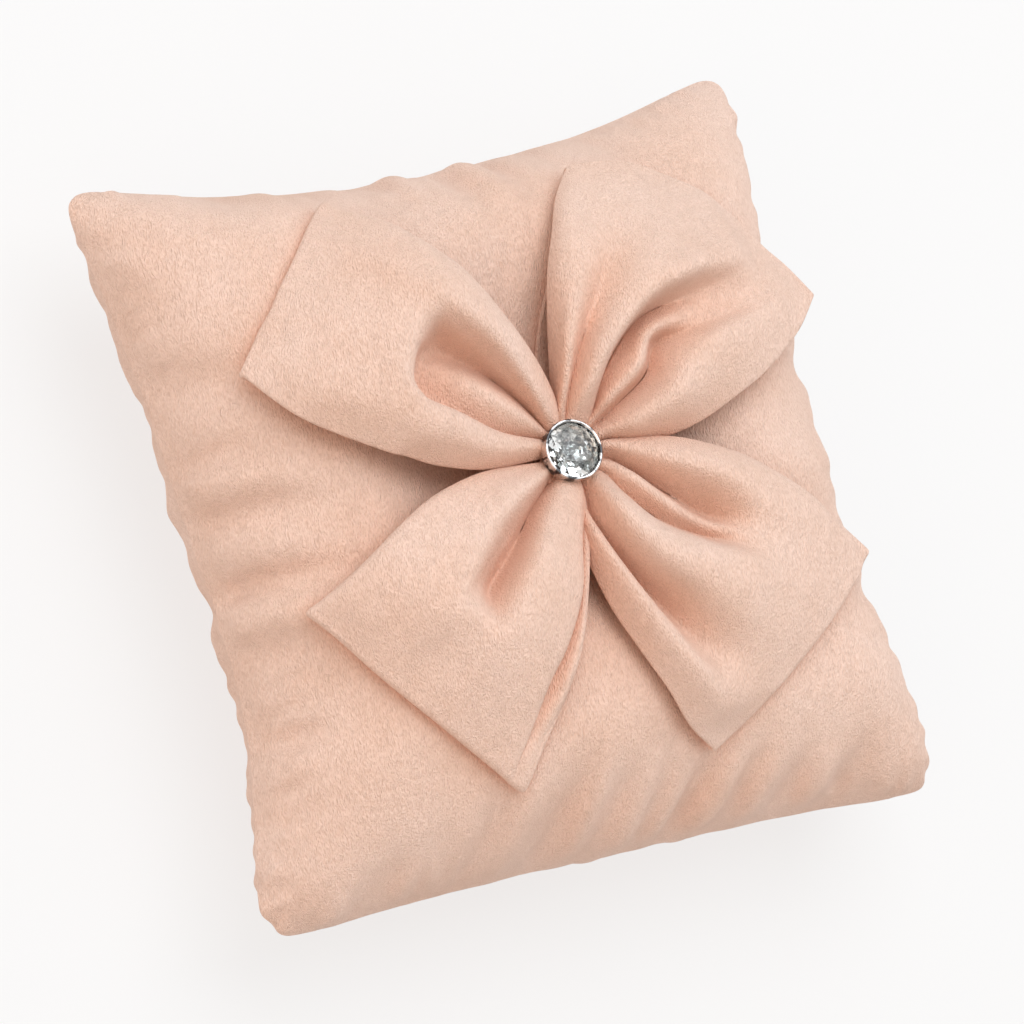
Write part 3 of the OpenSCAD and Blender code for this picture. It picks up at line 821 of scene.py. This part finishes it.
def cushion_height(tree, x, y):
    """Height of the cushion's front under the points, in mm."""
    found = np.zeros(x.shape)
    for k, (a, b) in enumerate(zip(x.flat, y.flat)):
        hit = tree.ray_cast(Vector((a * MM, b * MM, ABOVE_ALL)), Vector((0, 0, -1)))[0]
        found.flat[k] = hit.z / MM if hit else SEAM_Z
    return found


def soft_max(a, b, width=0.8):
    """The larger of two, rounded where they cross."""
    return (a + b + np.sqrt((a - b) ** 2 + width ** 2)) / 2


def swing(p, direction):
    """Points (out, across, height) of a loop, in the frame."""
    turn = radians(direction)
    c, s = cos(turn), sin(turn)
    return np.stack([p[..., 0] * c - p[..., 1] * s, p[..., 0] * s + p[..., 1] * c, p[..., 2]], -1)


def height_under(tree, p, direction):
    """Height of the cushion under points of a loop."""
    at = swing(p, direction)
    return cushion_height(tree, at[..., 0], at[..., 1])


def top_layer(ribs, direction, tree):
    """Upper layer of a loop, through its ribs, with its outer end held off the cushion."""
    top = np.array(ribs, float)[None]
    top[..., -1, 0] -= FOLD_R + CLOTH / 2
    tip = top[0, :, -1]
    lowest = height_under(tree, tip, direction) + LOW_LAYER + 2 * FOLD_R
    tip[:, 2] = np.maximum(tip[:, 2], lowest)
    rows, columns = (step * (n - 1) + 1 for step, n in zip(RIB_STEPS, top.shape[1:]))
    return finer(top, rows, columns)[0]


def fold_round(end):
    """The cloth's turn at the loop's outer end, from the upper layer to the lower."""
    angles = np.linspace(0, pi, FOLD_STEPS)[1:-1]
    return np.stack([end[:, None, 0] + FOLD_R * np.sin(angles),
                     end[:, None, 1] + 0 * angles,
                     end[:, None, 2] - FOLD_R * (1 - np.cos(angles))], -1)


def lower_layer(end, direction, tree):
    """Lower layer of a loop: from the fold back to the waist, narrowing and lying on the cushion."""
    back = np.linspace(0, 1, LOWER_STEPS)[1:]
    out = end[:, None, 0] + (RIBS_START - end[:, None, 0]) * back
    share = np.clip((out - RIBS_START) / (end[:, None, 0] - RIBS_START), 0, 1)
    spread = np.sin(pi / 2 * share ** 0.75)
    width = LOWER_WIDTH + (1 - LOWER_WIDTH) * (1 - back) ** 10
    across = end[:, None, 1] * (GATHER + (1 - GATHER) * spread) * width
    low = end[:, None, 2] - 2 * FOLD_R
    flat = np.stack([out, across, low - LOWER_FALL * back], -1)
    lowest = WAIST_Z - 60 * spread      # this matters only near the waist
    rest = np.maximum(height_under(tree, flat, direction) + LOW_LAYER, lowest)
    flat[..., 2] = soft_max(rest, flat[..., 2])
    flat[..., 2] += (low - flat[:, :1, 2]) * (1 - back[None]) ** 12
    return flat


def loop_surface(ribs, direction, tree):
    """Middle of the cloth, from the waist out over the top, round the fold and back below."""
    top = top_layer(ribs, direction, tree)
    end = top[:, -1].copy()
    lowest = height_under(tree, top, direction) + LOW_LAYER + CLOTH + LAYER_GAP
    top[..., 2] = soft_max(top[..., 2], lowest)
    return swing(np.concatenate([top, fold_round(end), lower_layer(end, direction, tree)], 1), direction)


def round_side(middle, normal, row, inner, half):
    """Rows of points round one side edge of a sheet, from its upper to its under face."""
    outward = unit(middle[row] - middle[inner])
    return [middle[row] + normal[row] * half * cos(a) + outward * half * sin(a)
            for a in np.linspace(0, pi, EDGE_STEPS)[1:-1]]


def thick_sheet(name, middle, thickness):
    """Closed mesh of a sheet of cloth with rounded sides, around a grid of points."""
    normal = unit(np.cross(np.gradient(middle, axis=0), np.gradient(middle, axis=1)))
    nu, nv = middle.shape[:2]
    half = thickness / 2
    first_side = round_side(middle, normal, 0, 1, half)
    last_side = round_side(middle, normal, -1, -2, half)
    over, under = middle + normal * half, middle - normal * half
    rows = list(over) + last_side + list(under[::-1]) + first_side[::-1]
    n = len(rows)
    ids = np.arange(n * nv).reshape(n, nv)
    faces = grid_faces(np.vstack([ids, ids[:1]]))
    under_first = n - 1 - len(first_side)       # the under face's row that lies below row 0
    for column in (0, -1):
        end = [[ids[k, column], ids[under_first - k, column],
                ids[under_first - k - 1, column], ids[k + 1, column]] for k in range(nu - 1)]
        for start, stop in ((nu - 1, nu + len(last_side)), (under_first, n)):
            end.append([ids[k % n, column] for k in range(stop, start - 1, -1)])
        faces += [face[::-1] if column else face for face in end]
    faces = [[int(v) for v in face] for face in faces]
    mesh = new_mesh(name, np.concatenate(rows), faces)
    edit = bmesh.new()
    edit.from_mesh(mesh)
    bmesh.ops.recalc_face_normals(edit, faces=edit.faces)
    edit.to_mesh(mesh)
    edit.free()
    return new_object(name, mesh)


def make_loops(tree, material):
    """The bow's four loops, each held at its waist and free at its outer end."""
    for node, ribs, direction, width in LOOPS:
        piece = thick_sheet(node + "_cloth", loop_surface(ribs, direction, tree), CLOTH)
        piece.data.materials.append(material)
        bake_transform(piece)
        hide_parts(node)


# ---------------- crystal button

# Rings of the stone and of the foil under it: radius, height, corners, turn in degrees
STONE_RINGS = ((3.9, 79.7, 8, 0), (5.7, 79.2, 8, 22.5), (7.38, 78.15, 16, 0), (7.38, 77.9, 16, 0),
               (5.0, 76.95, 16, 11.25), (2.6, 76.0, 8, 0), (0.25, 75.45, 4, 20))
FOIL_RINGS = ((7.36, 77.75, 30, 3), (6.7, 77.4, 34, 8), (5.9, 77.2, 30, 10), (5.1, 76.85, 26, 0),
              (4.3, 76.6, 22, 9), (3.5, 76.2, 18, 4), (2.7, 76.0, 15, 17), (1.9, 75.65, 12, 0),
              (1.1, 75.5, 8, 11), (0.15, 75.28, 4, 30))
FOIL_UNEVEN = 0.16  # up or down, at each corner
FOIL_THICK = 0.1
# Painted reflections on the foil's facets, dark, middle and light: up to which share of them, and the
# two greys to pick between
FOIL_PAINTED_REFLECTIONS = ((0.2, 0.02, 0.08), (0.72, 0.3, 0.58), (1.0, 0.65, 0.88))
PAINTED_DARK_FAN = 0.35  # painted dark reflection: the foil's middle, and a fan towards the upper right loop, are darker


def facet_rings(name, rings, closed_top, painted_reflection_of=None, uneven=0.0):
    """Flat-shaded mesh of triangles between rings, closed below."""
    points, ids, angles = [], [], []
    for radius, height, count, turn in rings:
        ids.append([len(points) + k for k in range(count)])
        angles.append([2 * pi * k / count + radians(turn) for k in range(count)])
        points += [(radius * cos(a), radius * sin(a), height + rng.uniform(-uneven, uneven))
                   for a in angles[-1]]
    faces = [tuple(ids[0])] if closed_top else []
    for k in range(len(rings) - 1):
        i = j = 0
        na, nb = len(ids[k]), len(ids[k + 1])
        while i < na or j < nb:
            next_a = angles[k][0] + 2 * pi * (i + 1) / na
            next_b = angles[k + 1][0] + 2 * pi * (j + 1) / nb
            a, b = ids[k][i % na], ids[k + 1][j % nb]
            if j >= nb or (i < na and next_a <= next_b):
                faces.append((a, b, ids[k][(i + 1) % na]))
                i += 1
            else:
                faces.append((a, b, ids[k + 1][(j + 1) % nb]))
                j += 1
    faces.append(tuple(reversed(ids[-1])))
    mesh = new_mesh(name, points, faces, smooth=False)
    # painted reflection: each face's tone, when given, is kept in the mesh as the foil's colour
    if painted_reflection_of:
        layer = mesh.color_attributes.new("tone", "FLOAT_COLOR", "CORNER")
        for polygon in mesh.polygons:
            tone = painted_reflection_of(polygon.center / MM)
            for corner in polygon.loop_indices:
                layer.data[corner].color = (*tone, 1)
    return new_object(name, mesh)


def foil_painted_reflection(place):
    """Painted reflection of one facet: dark, middle or light, and some are faintly green-blue."""
    pick = rng.uniform()
    low, high = next((low, high) for share, low, high in FOIL_PAINTED_REFLECTIONS if pick < share)
    light = rng.uniform(low, high)
    reach = hypot(place.x, place.y)
    turn = degrees(atan2(place.y, place.x))
    # painted dark reflection in the foil's middle and in a fan towards the upper right loop
    if reach < 1.3 or (reach < 4.4 and 8 < turn < 58):
        light *= PAINTED_DARK_FAN
    tint = rng.uniform(0, 0.12) if rng.uniform() < 0.4 else 0
    return (light * (1 - tint), light, light * (1 - 0.2 * tint))


def make_crystal():
    """The cut stone, and the mirror foil behind it, whose facets carry the painted reflections that give
    it its sparkle.
    """
    stone = facet_rings("crystal_cut", STONE_RINGS, True)
    finish_piece(stone, crystal_material(), "button", "crystal_stone")
    foil = facet_rings("foil_facets", FOIL_RINGS, False, foil_painted_reflection, FOIL_UNEVEN)
    sheet = foil.modifiers.new("thickness", "SOLIDIFY")
    sheet.thickness = FOIL_THICK * MM
    sheet.offset = 0
    finish_piece(foil, foil_material(), "button", "foil_backing")


# ---------------- threads, filling and waists

OFF_PATH = (0.13, 0.21, 0.97)  # a way that no thread runs
SEAM_THREAD_IN = 2.2  # how far inside the edge the seam's stitching runs
BOTTOM_Y = -80  # the bottom seam lies below this
CLOSING_STITCHES = 13
STITCH_STEP = 5.2
# One closing stitch, over the seam allowance: out from the seam, up, and along
STITCH = ((-3.0, 2.0, -1.2), (-1.8, 1.1, -0.6), (-1.0, 0.4, -0.2),
          (-1.0, -0.4, 0.2), (-1.8, -1.1, 0.6), (-3.0, -2.0, 1.2))
KNOT_R = 0.62  # a third of the knot's radius
KNOT_Z = 6.7
FILLING_SHRINK = (0.95, 0.95, 0.93)  # the filling, as a share of the cover
FILLING_ROUGH = 0.12  # up or down, about

# The strips' waists: piece, node, direction in degrees, height, and how much their ends rise
WAISTS = (("first_waist_pleats", "first_strip_waist", 134.5, 66.0, 2.1),
          ("second_waist_pleats", "second_strip_waist", 43, 71.3, -2.7))
WAIST_HALF = 9  # half a waist's length
WAIST_WIDE = 4.6  # half its width at the middle
WAIST_THICK = 1.9  # half its thickness there
PLEATS = 9
PLEAT_DEPTH = 0.13  # as a share of the waist


def tube(name, paths, radius, sides=8, closed=False):
    """Tubes along paths of points, as one mesh."""
    points, faces = [], []
    for path in paths:
        path = np.array(path, float)
        ahead, behind = np.roll(path, -1, 0), np.roll(path, 1, 0)
        if not closed:
            ahead[-1], behind[0] = path[-1], path[0]
        way = unit(ahead - behind)
        side = unit(np.cross(way, OFF_PATH))
        up = np.cross(side, way)
        n, start = len(path), len(points)
        for k in range(n):
            for a in np.linspace(0, 2 * pi, sides, endpoint=False):
                points.append(path[k] + radius * (side[k] * cos(a) + up[k] * sin(a)))
        for k in range(n if closed else n - 1):
            for q in range(sides):
                a, b = start + k * sides, start + (k + 1) % n * sides
                r = (q + 1) % sides
                faces.append((a + q, a + r, b + r, b + q))
        if not closed:
            faces.append(tuple(range(start + sides - 1, start - 1, -1)))
            faces.append(tuple(range(start + (n - 1) * sides, start + n * sides)))
    return new_object(name, new_mesh(name, points, faces))


def seam_line(panels):
    """Points of the edge seam, all the way round, with their outward directions in the plane."""
    front = panels[0]
    line = np.concatenate([front[0, :-1], front[:-1, -1], front[-1, :0:-1], front[:0:-1, 0]])
    along = np.roll(line, -1, 0) - np.roll(line, 1, 0)
    outward = unit(np.stack([-along[:, 1], along[:, 0], 0 * along[:, 0]], 1))
    outward[(outward * line).sum(1) < 0] *= -1
    return line, outward


def stitch_seam(line, outward, thread):
    """Running stitch between the two seam allowances, all the way round."""
    inside = line - SEAM_THREAD_IN * outward
    inside[:, 2] += 0.25 * np.sin(np.arange(len(line)) * pi / 1.5)
    piece = tube("seam_stitching", [inside], radius=0.25, sides=6, closed=True)
    finish_piece(piece, thread, "cushion", "edge_seam_thread")


def close_seam(line, outward, thread):
    """Slanted hand stitches over the part of the bottom seam that was left open for filling."""
    bottom = [k for k in range(len(line)) if line[k, 1] < BOTTOM_Y]
    stitches = []
    for count in range(CLOSING_STITCHES):
        x = STITCH_STEP * (count - CLOSING_STITCHES // 2)
        k = min(bottom, key=lambda k: (abs(line[k, 0] - x), line[k, 0]))
        along = np.array((-outward[k, 1], outward[k, 0], 0))
        stitches.append([line[k] + out * outward[k] + (0, 0, up) + lean * along
                         for out, up, lean in STITCH])
    piece = tube("closing_stitch_row", stitches, radius=0.28)
    finish_piece(piece, thread, "cushion", "closing_stitches")


def tie_knot(thread):
    """Overhand knot of the tuft thread under the back button."""
    t = np.linspace(0, 2 * pi, 90, endpoint=False)
    knot = np.stack([KNOT_R * (np.sin(t) + 2 * np.sin(2 * t)), KNOT_R * (np.cos(t) - 2 * np.cos(2 * t)),
                     KNOT_Z - 0.45 * np.sin(3 * t)], 1)
    piece = tube("knot_turns", [knot], radius=0.42, closed=True)
    finish_piece(piece, thread, "cushion", "tie_off_knot")


def make_filling(panels):
    """Wad of loose fibre that follows the cover from inside."""
    inner = panels * FILLING_SHRINK + (0, 0, SEAM_Z * (1 - FILLING_SHRINK[2]))
    inner += rng.normal(0, FILLING_ROUGH, inner.shape)
    for rim in RIM:
        inner[1][rim] = inner[0][rim]
    piece = new_object("filling_wad", cushion_mesh("filling_wad", inner))
    finish_piece(piece, fibre_material(), "cushion", "fibre_filling")


def make_waist(name, node, direction, height, end_rise, cloth):
    """Pleated middle of a strip, drawn together under the button."""
    around = np.linspace(0, 2 * pi, 72, endpoint=False)
    rings = []
    for x in np.linspace(-WAIST_HALF, WAIST_HALF, 25):
        flare = (x / 15.5) ** 2
        pleat = 1 - PLEAT_DEPTH * (1 + np.cos(PLEATS * around + 0.05 * x)) / 2
        across = (WAIST_WIDE + 1.9 * flare) * pleat * np.cos(around)
        up = (WAIST_THICK + 0.6 * flare) * pleat * np.sin(around)
        ring = np.stack([x + 0 * across, across, height + end_rise * flare + up], 1)
        rings.append(swing(ring, direction))
    n, m = len(rings), len(around)
    ids = np.arange(n * m).reshape(n, m)
    faces = grid_faces(np.hstack([ids, ids[:, :1]]).T) + [ids[0, ::-1].tolist(), ids[-1].tolist()]
    piece = new_object(name, new_mesh(name, np.concatenate(rings), faces))
    finish_piece(piece, cloth, "cushion", node)


def dress_nodes(materials):
    """Give the CAD nodes that stay their materials."""
    for node, material in materials.items():
        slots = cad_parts[node].data.materials
        slots.clear()
        slots.append(material)


make_stage(make_camera())

panels = pinch_seam(wrinkle(calm_seam(simulate_cushion())))
cloth = velour()
make_loops(make_cushion(panels, cloth), cloth)
make_crystal()
thread = thread_material()
line, outward = seam_line(panels)
stitch_seam(line, outward, thread)
close_seam(line, outward, thread)
tie_knot(thread)
make_filling(panels)
for name, node, direction, height, end_rise in WAISTS:
    make_waist(name, node, direction, height, end_rise, cloth)
silver = silver_material()
dress_nodes({"setting_cup": silver, "setting_back": silver, "shank": silver,
             "tuft_thread": thread, "first_gather_thread": thread, "second_gather_thread": thread,
             "back_button": button_plastic()})
